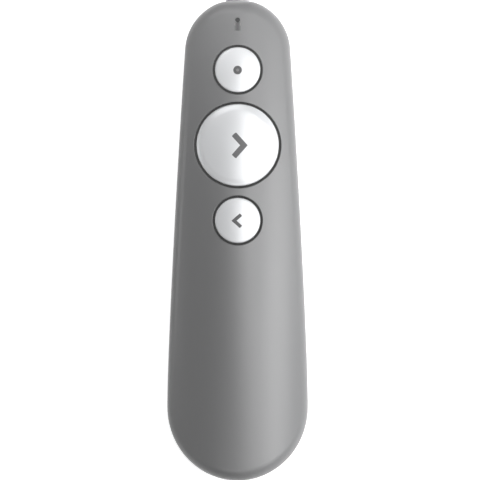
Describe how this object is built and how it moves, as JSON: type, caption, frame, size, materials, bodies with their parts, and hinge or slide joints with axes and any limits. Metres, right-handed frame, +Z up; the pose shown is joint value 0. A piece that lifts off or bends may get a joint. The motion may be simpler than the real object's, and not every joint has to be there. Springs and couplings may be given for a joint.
{
  "type": "wireless presentation clicker",
  "caption": "Handheld wireless presentation clicker with domed press buttons, a laser nose, a slide-off battery door and a stored USB receiver.",
  "frame": {"origin": "under the middle of the whole clicker, on the surface that its belly lies on", "axes": "+Y towards the laser nose, +Z up through the buttons, +X to the right seen from above with the nose up"},
  "size_m": [0.0382, 0.1306, 0.0267],
  "materials": {
    "cover": "fine satin moulded grey",
    "case": "fine satin moulded grey, slightly darker than the cover",
    "bezel": "light grey satin ring",
    "window": "dark laser filter window",
    "button": "silver-white lacquer",
    "black_plastic": "black moulded",
    "lens": "smoked light guide",
    "led": "small surface LED",
    "board": "green solder mask",
    "plunger": "switch plunger",
    "steel": "nickel-plated steel",
    "passive": "chip parts",
    "brass": "turned",
    "clear": "polished lens",
    "gold": "gold plated",
    "cell": "jacketed cell",
    "receiver": "dark moulded receiver cap",
    "insulator": "white plug insulator"
  },
  "bodies": {
    "housing": {"top_cover": "cover", "bottom_case": "case", "nose_bezel": "bezel", "laser_window": "window", "button_frame": "black_plastic", "status_lens": "lens", "light_bar": "lens", "status_led": "led", "main_board": "board", "laser_switch": "black_plastic", "next_switch": "black_plastic", "back_switch": "black_plastic", "radio_chip": "black_plastic", "crystal": "steel", "passives": "passive", "laser_barrel": "brass", "laser_lens": "clear", "laser_diode": "gold", "laser_driver": "board", "cell_left": "cell", "cell_right": "cell", "bridge_contact": "steel", "plus_contact": "steel", "minus_contact": "steel", "screw_left": "steel", "screw_right": "steel"},
    "laser_key": {"laser_button": "button", "laser_plunger": "plunger"},
    "next_key": {"next_button": "button", "next_plunger": "plunger"},
    "back_key": {"back_button": "button", "back_plunger": "plunger"},
    "battery_door": {"battery_door": "case"},
    "usb_receiver": {"receiver_cap": "receiver", "usb_shell": "steel", "usb_insulator": "insulator", "usb_strips": "gold"}
  },
  "joints": [
    {"name": "laser_press", "type": "slide", "parent": "housing", "child": "laser_key", "axis": [0, 0, -1], "range_m": [0, 0.0005], "stiffness_N_per_m": 2000},
    {"name": "next_press", "type": "slide", "parent": "housing", "child": "next_key", "axis": [0, 0, -1], "range_m": [0, 0.0005], "stiffness_N_per_m": 2000},
    {"name": "back_press", "type": "slide", "parent": "housing", "child": "back_key", "axis": [0, 0, -1], "range_m": [0, 0.0005], "stiffness_N_per_m": 2000},
    {"name": "door_slide", "type": "slide", "parent": "housing", "child": "battery_door", "axis": [0, -1, 0], "range_m": [0, 0.077]},
    {"name": "receiver_slide", "type": "slide", "parent": "housing", "child": "usb_receiver", "axis": [0, -1, 0], "range_m": [0, 0.02]}
  ]
}
